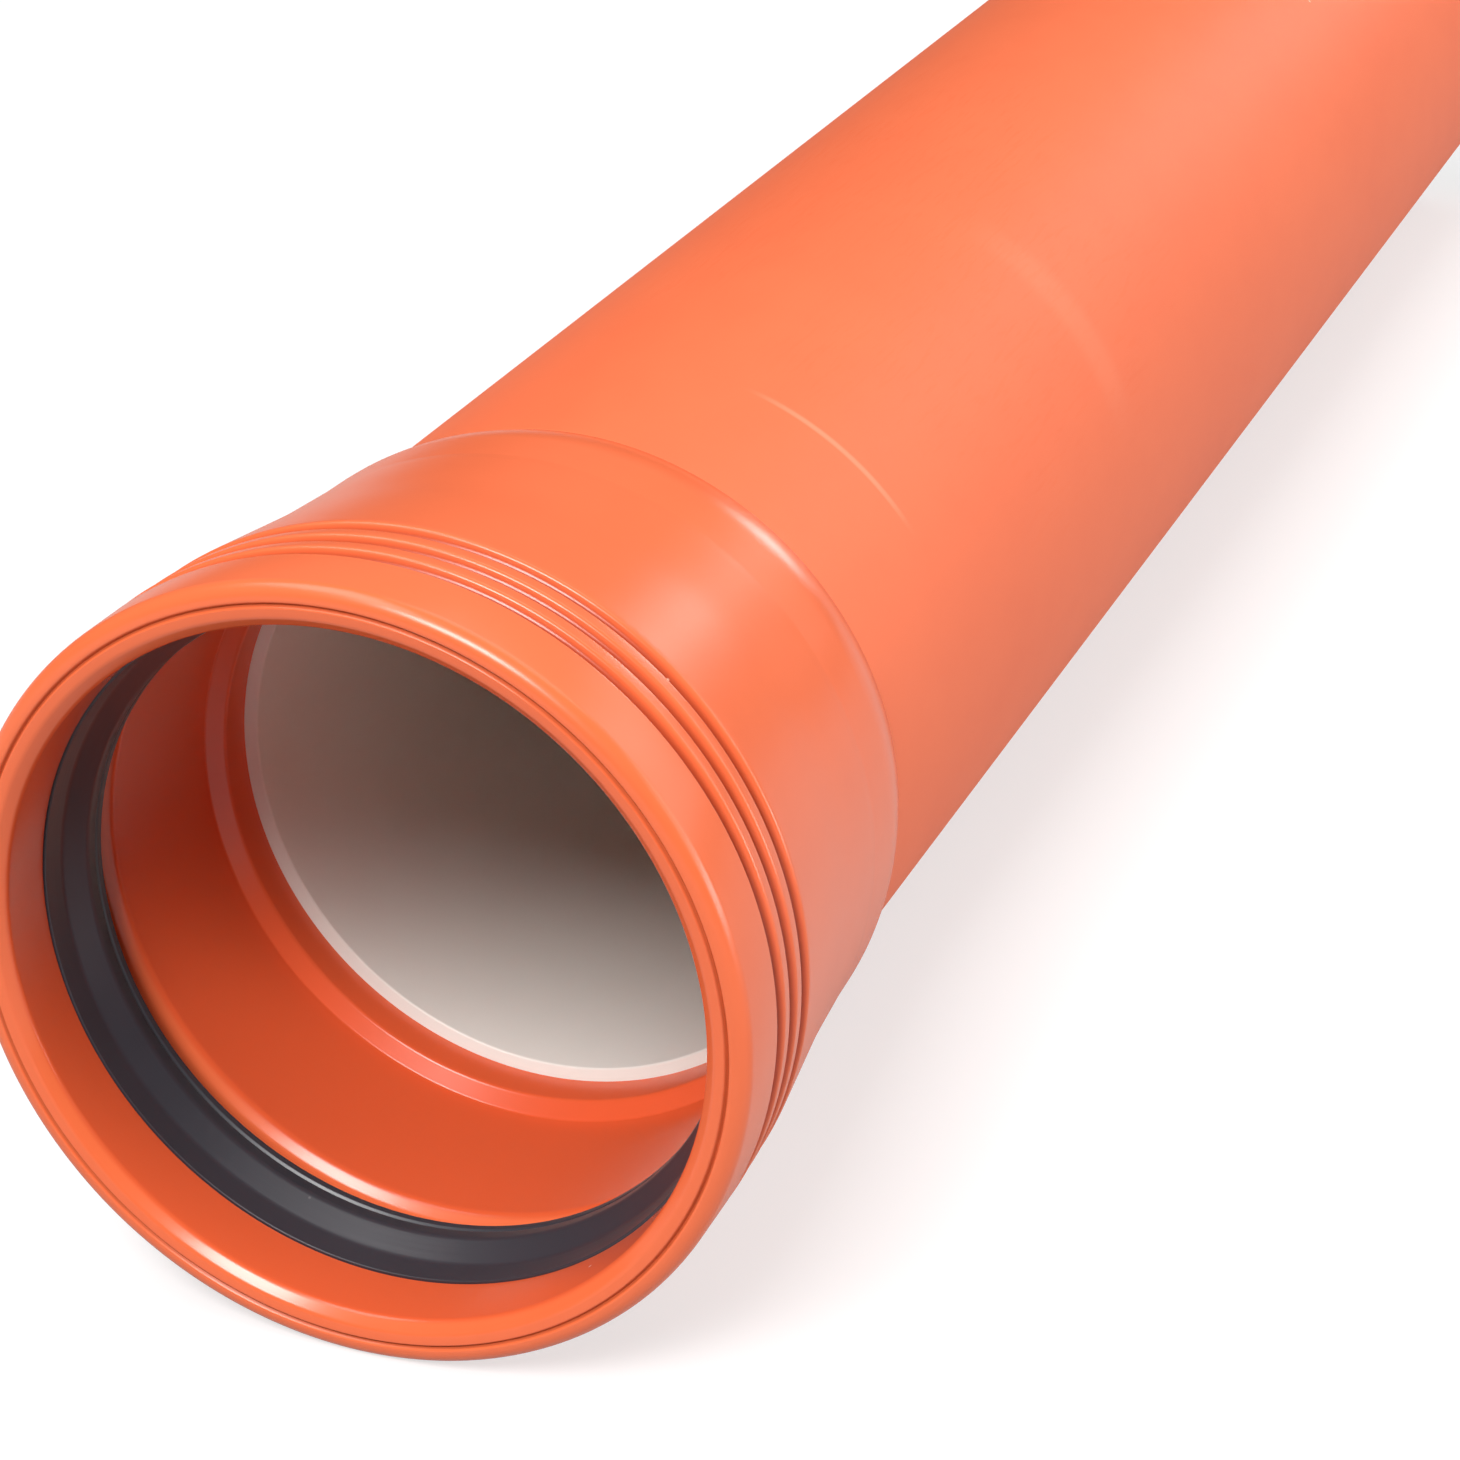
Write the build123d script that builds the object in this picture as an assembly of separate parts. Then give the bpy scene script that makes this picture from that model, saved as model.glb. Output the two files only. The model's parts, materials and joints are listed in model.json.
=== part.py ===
"""Push-fit sewer pipe with a moulded socket: all pieces are turned about one horizontal axis.

The pipe lies along Y, with +Z up. The socket's mouth looks along -Y and the spigot end points along +Y.
The origin lies on the axis, at the inner end of the socket's bore, where a pushed-in pipe stops.
Sizes are in millimetres. An outline's corner is (radius, place along the axis, corner rounding).
"""

from build123d import *
import math
import os

# Pipe: an orange outer wall extruded together with a pale inner layer
PIPE_OUTER_RADIUS = 100.0
OUTER_WALL = 4.7
INNER_LAYER_WALL = 3.7
LAYING_LENGTH = 1000.0
SPIGOT_CHAMFER_ANGLE = 15.0
SPIGOT_END_LAND = 1.1
BORE_DEBURR = 0.8
LAYER_RIM_SLOPE = 1.3

# Weld seat: the pipe end is turned down where the socket is welded on
WELD_SEAT_DEPTH = 0.8
WELD_SEAT_LENGTH = 17.2
TAIL_EDGE_HEIGHT = 4.1
TAIL_EDGE_RADIUS = 3.5

# Socket bore: the land that guides a pushed-in pipe, and the stop behind it
SOCKET_CLEARANCE = 0.6
LAND_LENGTH = 56.0
LAND_EDGE_RADIUS = 4.0
STOP_LENGTH = 3.2
THROAT_LENGTH = 11.8

# Seal chamber and the ring that closes it
CHAMBER_LENGTH = 31.6
RING_LENGTH = 22.4
RING_RELIEF = 0.6
RING_WALL = 6.9
RING_MOUTH_RADIUS = 4.0
RING_SHOULDER = 1.1
RIM_GROOVE_WIDTH = 1.6
RIM_GROOVE_DEPTH = 1.4

# Seal: a lip ring, shown as a pushed-in pipe presses it
SEAL_PIPE_GAP = 0.25
SEAL_LEAD_LENGTH = 5.0
SEAL_LEAD_HEIGHT = 1.2
SEAL_BACK_ROOM = 3.0
SEAL_LIP_THICKNESS = 2.6
SEAL_LIP_CHAMFER = 1.2
SEAL_NOTCH_DEPTH = 11.0
SEAL_NOTCH_WIDTH = 1.8

# Outside of the socket: collar, grooves, tapering body and shoulder
COLLAR_WALL = 5.9
COLLAR_CORNER_RADIUS = 5.0
COLLAR_LENGTH = 19.5
GROOVE_COUNT = 3
GROOVE_PITCH = 10.3
GROOVE_WIDTH = 5.2
GROOVE_DEPTH = 3.0
GROOVE_WALL_RUN = 1.0
BODY_DROP = 1.5
BODY_WALL = 6.8
BODY_BEND_SHARE = 0.6
SHOULDER_START = 6.0
SHOULDER_WALL = 4.8

# Radii that follow
layer_radius = PIPE_OUTER_RADIUS - OUTER_WALL
bore_radius = layer_radius - INNER_LAYER_WALL
weld_radius = PIPE_OUTER_RADIUS - WELD_SEAT_DEPTH
land_radius = PIPE_OUTER_RADIUS + SOCKET_CLEARANCE
ring_bore_radius = land_radius + RING_RELIEF
seat_radius = ring_bore_radius + RING_WALL
chamber_radius = seat_radius - RING_SHOULDER
collar_radius = seat_radius + COLLAR_WALL
body_front_radius = collar_radius - BODY_DROP
body_bend_radius = land_radius + BODY_WALL
shoulder_radius = land_radius + SHOULDER_WALL
tail_radius = PIPE_OUTER_RADIUS + TAIL_EDGE_HEIGHT

# Places along the axis that follow, from the mouth to the spigot end
chamber_back = -LAND_LENGTH - LAND_EDGE_RADIUS
ring_back = chamber_back - CHAMBER_LENGTH
mouth = ring_back - RING_LENGTH
groove_start = mouth + COLLAR_LENGTH
body_start = groove_start + GROOVE_COUNT * GROOVE_PITCH
body_bend = body_start + BODY_BEND_SHARE * (SHOULDER_START - body_start)
pipe_start = STOP_LENGTH + THROAT_LENGTH
tail_end = pipe_start + WELD_SEAT_LENGTH
spigot_end = LAYING_LENGTH


def corner_points(before, corner, after):
    """Points of one corner of an outline: the corner itself, or two facets that follow its rounding."""
    radius, place, rounding = corner
    here = Vector(radius, place)
    if rounding == 0:
        return [here]
    back = (Vector(*before[:2]) - here).normalized()
    ahead = (Vector(*after[:2]) - here).normalized()
    half_angle = math.radians(back.get_angle(ahead) / 2)
    reach = rounding / math.tan(half_angle)
    depth = rounding / math.sin(half_angle) - rounding
    return [here + back * reach, here + (back + ahead).normalized() * depth, here + ahead * reach]


def turned(corners):
    """Turn a closed outline of (radius, place, rounding) corners about the pipe's axis."""
    points = []
    for index, corner in enumerate(corners):
        after = corners[(index + 1) % len(corners)]
        points += corner_points(corners[index - 1], corner, after)
    return revolve(make_face(Polyline(*points, close=True)), Axis.Y)


def pipe_wall():
    """Orange outer wall, turned down under the socket and chamfered at the spigot end."""
    chamfer_height = OUTER_WALL - SPIGOT_END_LAND
    chamfer_length = chamfer_height / math.tan(math.radians(SPIGOT_CHAMFER_ANGLE))
    return turned(
        [
            (layer_radius, pipe_start, 0),
            (weld_radius, pipe_start, 0),
            (weld_radius, tail_end, 0),
            (PIPE_OUTER_RADIUS, tail_end, 0),
            (PIPE_OUTER_RADIUS, spigot_end - chamfer_length, 0),
            (PIPE_OUTER_RADIUS - chamfer_height, spigot_end, 0),
            (layer_radius, spigot_end, 0),
        ]
    )


def inner_layer():
    """Pale inner layer, with a slightly coned rim inside the socket."""
    return turned(
        [
            (layer_radius, pipe_start, 0),
            (layer_radius, spigot_end, 0),
            (bore_radius + BORE_DEBURR, spigot_end, 0),
            (bore_radius, spigot_end - BORE_DEBURR, 0),
            (bore_radius, pipe_start + LAYER_RIM_SLOPE, 0),
        ]
    )


def groove_corners(middle, crest_radius):
    """One groove round the collar, as the corners of its cut from the mouth side to the pipe side."""
    floor_radius = crest_radius - GROOVE_DEPTH
    half_width = GROOVE_WIDTH / 2
    half_floor = half_width - GROOVE_WALL_RUN
    return [
        (crest_radius, middle - half_width, 0),
        (floor_radius, middle - half_floor, 0),
        (floor_radius, middle + half_floor, 0),
        (crest_radius, middle + half_width, 0),
    ]


def collar_outside():
    """Outside of the socket from the mouth to the tail on the pipe."""
    front_face = COLLAR_WALL - RIM_GROOVE_WIDTH / 2
    corner = min(COLLAR_CORNER_RADIUS, 0.9 * front_face)
    corners = [(collar_radius, mouth, corner)]
    for index in range(GROOVE_COUNT):
        share = (index + 0.5) / GROOVE_COUNT
        middle = groove_start + share * (body_start - groove_start)
        corners += groove_corners(middle, collar_radius - share * BODY_DROP)
    corners += [
        (body_front_radius, body_start, 0),
        (body_bend_radius, body_bend, 0),
        (shoulder_radius, SHOULDER_START, 0),
        (tail_radius, tail_end, TAIL_EDGE_RADIUS),
    ]
    return corners


def ring_seat():
    """Inside of the socket's front end, where the ring sits, up to the groove round its rim."""
    return [
        (seat_radius, ring_back, 0),
        (seat_radius, mouth + RIM_GROOVE_DEPTH, 0),
    ]


def socket():
    """Orange socket moulding: collar, seal chamber, guiding land, stop and weld tail."""
    return turned(
        [
            (seat_radius + RIM_GROOVE_WIDTH / 2, mouth, 0),
            *collar_outside(),
            (weld_radius, tail_end, 0),
            (weld_radius, pipe_start, 0),
            (layer_radius, pipe_start, 0),
            (layer_radius, STOP_LENGTH, 0),
            (land_radius, 0, 0),
            (land_radius, chamber_back, LAND_EDGE_RADIUS),
            (chamber_radius, chamber_back, 0),
            (chamber_radius, ring_back, 0),
            *ring_seat(),
        ]
    )


def retaining_ring():
    """Orange ring pressed into the mouth: its back end holds the seal in the chamber."""
    return turned(
        [
            *ring_seat(),
            (seat_radius - RIM_GROOVE_WIDTH / 2, mouth, 0),
            (ring_bore_radius, mouth, RING_MOUTH_RADIUS),
            (ring_bore_radius, ring_back, 0),
        ]
    )


def seal_ring():
    """Rubber lip seal between the ring and the chamber's back wall, pressed as by a pipe."""
    inner_radius = PIPE_OUTER_RADIUS + SEAL_PIPE_GAP
    seal_back = chamber_back - SEAL_BACK_ROOM
    lip_radius = inner_radius + SEAL_LIP_THICKNESS
    notch_root = seal_back - SEAL_NOTCH_DEPTH
    return turned(
        [
            (chamber_radius, ring_back, 0),
            (chamber_radius, seal_back, 0),
            (lip_radius + SEAL_NOTCH_WIDTH, seal_back, 0),
            (lip_radius, notch_root, 0),
            (lip_radius, seal_back, 0),
            (inner_radius + SEAL_LIP_CHAMFER, seal_back, 0),
            (inner_radius, seal_back - SEAL_LIP_CHAMFER, 0),
            (inner_radius, ring_back + SEAL_LEAD_LENGTH, 0),
            (inner_radius + SEAL_LEAD_HEIGHT, ring_back, 0),
        ]
    )


PIECES = {
    "pipe_wall": pipe_wall,
    "inner_layer": inner_layer,
    "socket": socket,
    "retaining_ring": retaining_ring,
    "seal_ring": seal_ring,
}

os.makedirs("parts", exist_ok=True)
for name, make_piece in PIECES.items():
    export_step(make_piece(), f"parts/{name}.step")
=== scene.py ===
"""Looks of an orange push-fit sewer pipe that lies on a pale studio floor.

Every piece is turned about the pipe's axis, which is the Y axis of the frame: the socket's mouth looks
along -Y and the spigot end points along +Y. Sizes are in metres. The main radii and places come from the
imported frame, and what is finer than that is a field of the piece's own class.
"""

import json
import logging
import math
from dataclasses import dataclass, field
from enum import Enum
from typing import ClassVar

import bpy
from mathutils import Matrix, Vector


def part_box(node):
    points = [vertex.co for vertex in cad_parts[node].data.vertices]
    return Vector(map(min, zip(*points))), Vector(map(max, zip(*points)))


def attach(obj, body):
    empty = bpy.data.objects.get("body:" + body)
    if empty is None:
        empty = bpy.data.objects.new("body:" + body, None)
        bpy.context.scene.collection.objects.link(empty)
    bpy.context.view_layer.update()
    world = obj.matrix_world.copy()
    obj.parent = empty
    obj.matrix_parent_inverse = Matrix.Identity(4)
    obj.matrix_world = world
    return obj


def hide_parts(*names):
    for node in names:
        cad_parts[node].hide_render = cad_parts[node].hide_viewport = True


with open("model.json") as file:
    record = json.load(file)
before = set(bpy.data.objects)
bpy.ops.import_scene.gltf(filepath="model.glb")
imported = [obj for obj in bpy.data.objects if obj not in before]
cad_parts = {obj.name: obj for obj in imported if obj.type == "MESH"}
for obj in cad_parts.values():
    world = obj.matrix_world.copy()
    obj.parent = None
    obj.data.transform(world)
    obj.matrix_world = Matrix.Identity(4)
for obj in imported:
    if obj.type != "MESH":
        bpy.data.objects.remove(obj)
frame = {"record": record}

LOG = logging.getLogger("sewer_pipe")
MM = 0.001
TURN_STEPS = 240
ARC_STEP = math.radians(11.0)
LEAST_ARC_STEPS = 2
SMOOTH_ANGLE = math.radians(32.0)
MERGE_DISTANCE = 0.002 * MM
# Largest share of a section's side that the rounding of one corner takes
SIDE_SHARE = 0.85

Colour = tuple[float, float, float]
Scale = tuple[float, float, float]
Point = tuple[float, float]
Socket = bpy.types.NodeSocket


class Node(Enum):
    """Names of the frame's solids that the dressed pieces stand for."""

    PIPE_WALL = "pipe_wall"
    INNER_LAYER = "inner_layer"
    SOCKET = "socket"
    RETAINING_RING = "retaining_ring"
    SEAL_RING = "seal_ring"


class Slot(Enum):
    """Names of the record's material slots."""

    ORANGE_PIPE = "orange_pipe"
    PALE_LAYER = "pale_layer"
    ORANGE_MOULDING = "orange_moulding"
    ORANGE_RING = "orange_ring"
    SEAL_RUBBER = "seal_rubber"


class Grain(Enum):
    """Which way the fine lines of a surface run."""

    ALONG = (420.0, 3.0, 420.0)
    AROUND = (26.0, 900.0, 26.0)
    NONE = (160.0, 160.0, 160.0)


@dataclass(frozen=True)
class PipeSizes:
    """Main radii and places along the axis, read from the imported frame.

    Attributes:
        pipe_radius: outside of the barrel.
        bore_radius: inside of the pale layer.
        layer_radius: outside of the pale layer.
        land_radius: guiding bore of the socket.
        land_length: length of the guiding bore, which ends at the origin.
        chamber_radius: chamber that holds the seal.
        collar_radius: outside of the collar.
        mouth: front end of the socket.
        ring_back: back end of the mouth ring, where the seal starts.
        seal_back: back end of the seal.
        pipe_start: front end of the barrel inside the socket.
        tail_end: end of the weld seat.
        spigot_end: back end of the pipe.
        weld_seat_depth: how far the pipe's end is turned down under the socket, which no box or mount says.
    """

    pipe_radius: float
    bore_radius: float
    layer_radius: float
    land_radius: float
    land_length: float
    chamber_radius: float
    collar_radius: float
    mouth: float
    ring_back: float
    seal_back: float
    pipe_start: float
    tail_end: float
    spigot_end: float
    weld_seat_depth: float = 0.8 * MM

    @property
    def weld_radius(self) -> float:
        """Radius of the seat on the pipe that the socket is welded to."""
        return self.pipe_radius - self.weld_seat_depth

    @classmethod
    def read(cls, record: dict) -> "PipeSizes":
        """Read the sizes from the solids' boxes and the record's mounts.

        Args:
            record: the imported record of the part.

        Returns:
            The sizes in metres.
        """
        mounts = {mount["name"]: mount["dims"] for mount in record["mounts"]}
        low_socket, high_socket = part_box(Node.SOCKET.value)
        low_seal, high_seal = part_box(Node.SEAL_RING.value)
        low_layer, high_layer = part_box(Node.INNER_LAYER.value)
        return cls(
            pipe_radius=mounts["spigot"]["r_mm"] * MM,
            bore_radius=mounts["flow_bore"]["r_mm"] * MM,
            layer_radius=high_layer[0],
            land_radius=mounts["socket"]["r_mm"] * MM,
            land_length=mounts["socket"]["length_mm"] * MM,
            chamber_radius=high_seal[0],
            collar_radius=high_socket[0],
            mouth=low_socket[1],
            ring_back=low_seal[1],
            seal_back=high_seal[1],
            pipe_start=low_layer[1],
            tail_end=high_socket[1],
            spigot_end=high_layer[1],
        )


@dataclass(frozen=True)
class Corner:
    """One corner of a turned piece's section.

    Attributes:
        radius: distance from the pipe's axis.
        place: place along the axis.
        rounding: radius of the arc that rounds the corner, or 0 for a sharp one.
    """

    radius: float
    place: float
    rounding: float = 0.0


@dataclass
class Section:
    """Closed section of a turned piece, drawn corner by corner."""

    corners: list[Corner] = field(default_factory=list)

    def add(self, radius: float, place: float, rounding: float = 0.0) -> None:
        """Add a corner."""
        self.corners.append(Corner(radius, place, rounding))

    def points(self) -> list[Point]:
        """Work out the outline's points, with each rounded corner as an arc.

        Returns:
            The points in order, as (radius, place).
        """
        outline: list[Point] = []
        count = len(self.corners)
        for index, corner in enumerate(self.corners):
            before = self.corners[index - 1]
            after = self.corners[(index + 1) % count]
            outline.extend(rounded_corner(before, corner, after))
        return outline


def rounded_corner(before: Corner, corner: Corner, after: Corner) -> list[Point]:
    """Points of one corner: the corner itself, or the arc that rounds it.

    Args:
        before: the corner before it.
        corner: the corner to round.
        after: the corner after it.

    Returns:
        The points in drawing order, as (radius, place).
    """
    middle = Vector((corner.radius, corner.place))
    if corner.rounding <= 0.0:
        return [(middle.x, middle.y)]
    back = Vector((before.radius, before.place)) - middle
    ahead = Vector((after.radius, after.place)) - middle
    room = SIDE_SHARE * min(back.length, ahead.length)
    back.normalize()
    ahead.normalize()
    half = back.angle(ahead) / 2
    reach = min(corner.rounding / math.tan(half), room)
    radius = reach * math.tan(half)
    centre = middle + (back + ahead).normalized() * (radius / math.sin(half))
    first = middle + back * reach - centre
    last = middle + ahead * reach - centre
    sweep = first.angle_signed(last)
    steps = max(LEAST_ARC_STEPS, math.ceil(abs(sweep) / ARC_STEP))
    arc = []
    for step in range(steps + 1):
        turned = first.copy()
        turned.rotate(Matrix.Rotation(-sweep * step / steps, 2))
        arc.append((centre.x + turned.x, centre.y + turned.y))
    return arc


class Lathe:
    """Turns closed sections into meshes with Blender's own edit tools."""

    def turn(self, name: str, section: Section) -> bpy.types.Object:
        """Make a turned piece.

        Args:
            name: the new object's name.
            section: the closed section to turn about the Y axis.

        Returns:
            The new object, at the origin, with its place in its mesh.
        """
        outline = section.points()
        piece = self.start_vertex(name, outline[0])
        self.draw_outline(outline)
        self.spin_outline()
        bpy.ops.object.mode_set(mode="OBJECT")
        bpy.ops.object.shade_smooth_by_angle(angle=SMOOTH_ANGLE)
        return piece

    def start_vertex(self, name: str, start: Point) -> bpy.types.Object:
        """Add a small plane and merge it into the outline's first vertex, in edit mode.

        Args:
            name: the new object's name.
            start: the outline's first point.

        Returns:
            The new object, which stays in edit mode.
        """
        bpy.ops.object.select_all(action="DESELECT")
        bpy.ops.mesh.primitive_plane_add(size=MM, location=(0.0, 0.0, 0.0))
        piece = bpy.context.active_object
        piece.name = name
        piece.data.name = name
        bpy.ops.object.mode_set(mode="EDIT")
        bpy.ops.mesh.select_all(action="SELECT")
        bpy.ops.mesh.merge(type="CENTER")
        bpy.ops.transform.translate(value=(start[0], start[1], 0.0))
        return piece

    def draw_outline(self, outline: list[Point]) -> None:
        """Extrude the vertex from point to point, and close the outline at its start.

        Args:
            outline: the section's points in order.
        """
        here = outline[0]
        for there in outline[1:] + outline[:1]:
            step = (there[0] - here[0], there[1] - here[1], 0.0)
            bpy.ops.mesh.extrude_vertices_move(TRANSFORM_OT_translate={"value": step})
            here = there
        bpy.ops.mesh.select_all(action="SELECT")
        bpy.ops.mesh.remove_doubles(threshold=MERGE_DISTANCE)

    def spin_outline(self) -> None:
        """Spin the outline once round the axis, and close the seam."""
        bpy.ops.mesh.select_all(action="SELECT")
        bpy.ops.mesh.spin(
            steps=TURN_STEPS,
            angle=math.tau,
            use_auto_merge=True,
            center=(0.0, 0.0, 0.0),
            axis=(0.0, 1.0, 0.0),
        )
        bpy.ops.mesh.select_all(action="SELECT")
        bpy.ops.mesh.remove_doubles(threshold=MERGE_DISTANCE)
        bpy.ops.mesh.normals_make_consistent(inside=False)


class Graph:
    """Short ways to add and link the nodes of a material or a group.

    Attributes:
        noise_roughness: share that each finer octave of a noise keeps.
    """

    noise_roughness: float = 0.55

    def __init__(self, tree: bpy.types.NodeTree) -> None:
        """Keep the tree and clear what it holds."""
        self.tree = tree
        tree.nodes.clear()

    def node(self, kind: str, **settings: object) -> bpy.types.Node:
        """Add a node and set its properties.

        Args:
            kind: the node's type name.
            settings: properties of the node by name.

        Returns:
            The new node.
        """
        made = self.tree.nodes.new(kind)
        for name, value in settings.items():
            setattr(made, name, value)
        return made

    def link(self, source: Socket, target: Socket) -> None:
        """Link an output to an input."""
        self.tree.links.new(source, target)

    def math(self, operation: str, first: object, second: object = None) -> Socket:
        """Add a Math node whose inputs are sockets or numbers.

        Args:
            operation: the Math node's operation.
            first: the first input.
            second: the second input, if the operation has one.

        Returns:
            The result's socket.
        """
        made = self.node("ShaderNodeMath", operation=operation)
        for index, value in enumerate((first, second)):
            self.feed(made.inputs[index], value)
        return made.outputs[0]

    def feed(self, target: Socket, value: object) -> None:
        """Link a socket to an input, or write a plain value into it.

        Args:
            target: the input.
            value: a socket, a plain value, or nothing to leave the input as it is.
        """
        if value is None:
            return
        if isinstance(value, Socket):
            self.link(value, target)
        else:
            target.default_value = value

    def place(self, scale: Scale) -> Socket:
        """Object coordinates stretched along each axis.

        Args:
            scale: the stretch along X, Y and Z.

        Returns:
            The stretched coordinates' socket.
        """
        source = self.node("ShaderNodeTexCoord")
        mapping = self.node("ShaderNodeMapping")
        mapping.inputs["Scale"].default_value = scale
        self.link(source.outputs["Object"], mapping.inputs["Vector"])
        return mapping.outputs["Vector"]

    def distance(self, scale: Scale) -> Socket:
        """Distance from the object's origin.

        Args:
            scale: the share of X, Y and Z that counts.

        Returns:
            The distance's socket.
        """
        made = self.node("ShaderNodeVectorMath", operation="LENGTH")
        self.link(self.place(scale), made.inputs[0])
        return made.outputs["Value"]

    def radius(self) -> Socket:
        """Distance from the pipe's axis."""
        return self.distance((1.0, 0.0, 1.0))

    def along(self) -> Socket:
        """Place along the pipe's axis.

        Returns:
            The place's socket.
        """
        made = self.node("ShaderNodeSeparateXYZ")
        self.link(self.place((1.0, 1.0, 1.0)), made.inputs[0])
        return made.outputs["Y"]

    def band(self, value: Socket, middle: float, core: float, edge: float) -> Socket:
        """Mask of a band of values: 1 within the core on both sides of the middle, 0 beyond the edge.

        Args:
            value: the values.
            middle: the band's middle.
            core: half width of the full band.
            edge: half width at which it ends.

        Returns:
            The mask's socket.
        """
        off = self.math("ABSOLUTE", self.math("SUBTRACT", value, middle))
        return self.ramp(off, core, edge, 1.0, 0.0)

    def noise(self, scale: Scale, detail: float) -> Socket:
        """Noise on Object coordinates.

        Args:
            scale: how many waves per metre along each axis.
            detail: octaves of the noise.

        Returns:
            The noise's value socket.
        """
        made = self.node("ShaderNodeTexNoise")
        made.inputs["Scale"].default_value = 1.0
        made.inputs["Detail"].default_value = detail
        made.inputs["Roughness"].default_value = self.noise_roughness
        self.link(self.place(scale), made.inputs["Vector"])
        return made.outputs["Fac"]

    def ramp(
        self,
        value: Socket,
        low: float,
        high: float,
        start: float = 0.0,
        end: float = 1.0,
        smooth: bool = True,
    ) -> Socket:
        """Bring a range of values to another one, clamped at both ends.

        Args:
            value: the values.
            low: the value that becomes the start.
            high: the value that becomes the end.
            start: the result at the low value.
            end: the result at the high value.
            smooth: ease in and out, instead of a straight line.

        Returns:
            The result's socket.
        """
        made = self.node("ShaderNodeMapRange", interpolation_type="SMOOTHSTEP" if smooth else "LINEAR")
        made.inputs["From Min"].default_value = low
        made.inputs["From Max"].default_value = high
        made.inputs["To Min"].default_value = start
        made.inputs["To Max"].default_value = end
        self.link(value, made.inputs["Value"])
        return made.outputs["Result"]

    def seen_glow(self, direct: object, mirrored: float) -> Socket:
        """Strength of a glow that shows to the camera and in reflections, and lights nothing.

        Args:
            direct: the strength for the camera.
            mirrored: the strength in reflections.

        Returns:
            The strength's socket.
        """
        path = self.node("ShaderNodeLightPath")
        camera = self.math("MULTIPLY", path.outputs["Is Camera Ray"], direct)
        bounced = self.math("MAXIMUM", path.outputs["Is Glossy Ray"], path.outputs["Is Transmission Ray"])
        return self.math("MAXIMUM", camera, self.math("MULTIPLY", bounced, mirrored))

    def effect(self, group: bpy.types.NodeTree, amount: float) -> Socket:
        """Add a shared effect and set its one number.

        Args:
            group: the effect's node group.
            amount: the number.

        Returns:
            The effect's mask.
        """
        made = self.node("ShaderNodeGroup", node_tree=group)
        made.inputs[0].default_value = amount
        return made.outputs["Mask"]

    def mix(self, factor: object, first: object, second: object) -> Socket:
        """Mix two colours, given as sockets or as red, green and blue.

        Args:
            factor: share of the second colour.
            first: the first colour.
            second: the second colour.

        Returns:
            The mixed colour's socket.
        """
        made = self.node("ShaderNodeMix", data_type="RGBA")
        self.feed(made.inputs["Factor"], factor)
        for socket, value in ((made.inputs["A"], first), (made.inputs["B"], second)):
            self.feed(socket, (*value, 1.0) if isinstance(value, tuple) else value)
        return made.outputs["Result"]


@dataclass(frozen=True)
class NoiseLayer:
    """Noise that is stretched to a mask.

    Attributes:
        scale: how many waves per metre along each axis.
        detail: octaves of the noise.
        low: noise at which the mask starts.
        high: noise at which the mask is full.
    """

    scale: Scale
    detail: float
    low: float
    high: float

    def mask(self, graph: Graph) -> Socket:
        """Where the layer shows, from 0 to 1."""
        return graph.ramp(graph.noise(self.scale, self.detail), self.low, self.high)


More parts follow.
